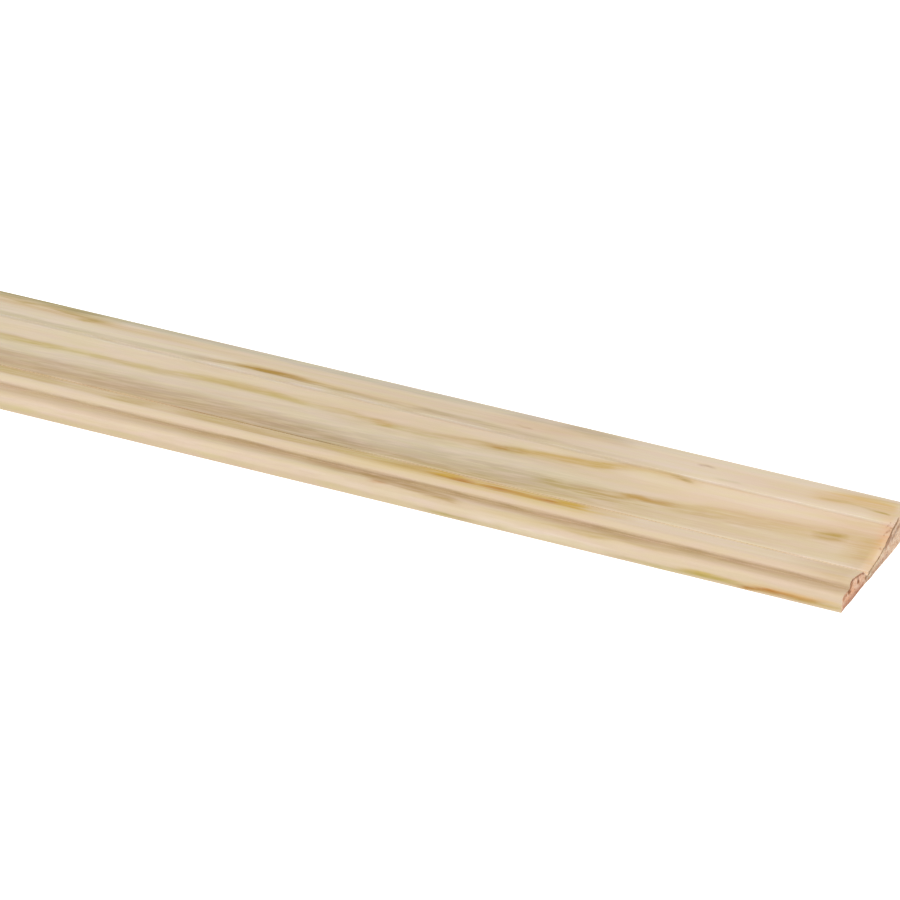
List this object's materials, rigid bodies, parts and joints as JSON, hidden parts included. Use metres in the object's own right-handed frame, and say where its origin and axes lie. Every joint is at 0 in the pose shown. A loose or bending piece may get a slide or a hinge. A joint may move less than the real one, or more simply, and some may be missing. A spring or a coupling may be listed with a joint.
{
  "type": "decorative moulding strip",
  "caption": "Flat-backed softwood moulding strip: bead, quirk and torus along the thin edge, then a cove rising to a flat fascia at the thick edge.",
  "frame": {"origin": "middle of the flat back: centre of the length and width, at the level of the back", "axes": "+X along the length, +Y from the thin edge to the thick edge, +Z out of the back towards the moulded face"},
  "size_m": [2.4, 0.06, 0.011],
  "materials": {
    "pine": "planed, bare"
  },
  "bodies": {
    "root": {"moulding_strip": "pine"}
  },
  "joints": []
}
